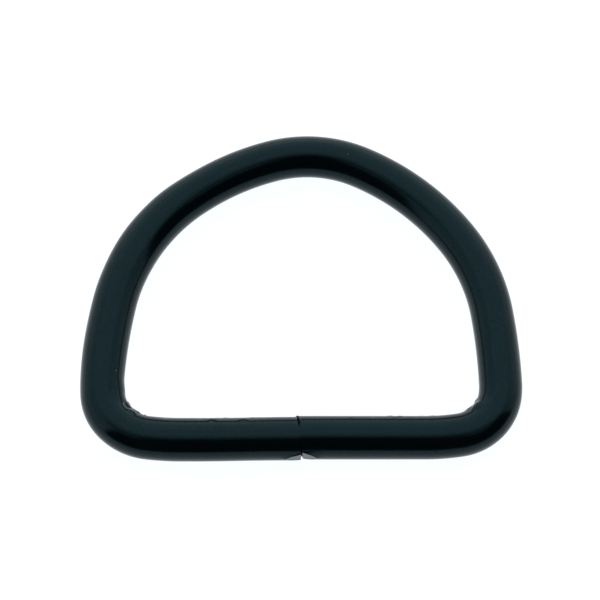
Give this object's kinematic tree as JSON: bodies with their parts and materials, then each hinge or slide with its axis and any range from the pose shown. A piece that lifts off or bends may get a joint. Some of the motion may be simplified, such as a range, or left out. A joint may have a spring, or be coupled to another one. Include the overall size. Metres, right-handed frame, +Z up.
{
  "type": "D ring",
  "caption": "Open D-shaped ring of round coated steel wire that holds a strap on its straight bar and takes a hook or second strap on its arch.",
  "frame": {"origin": "on the resting surface, below the middle of the ring's outer box, with the ring lying flat", "axes": "+X along the straight bar, to the right in the picture; +Y from the bar towards the top of the arch; +Z up, square to the plane of the ring"},
  "size_m": [0.0312, 0.025, 0.003],
  "materials": {
    "black_coat": "smooth semi-gloss blue-black coat over bent steel wire"
  },
  "bodies": {
    "root": {"wire_ring": "black_coat"}
  },
  "joints": []
}
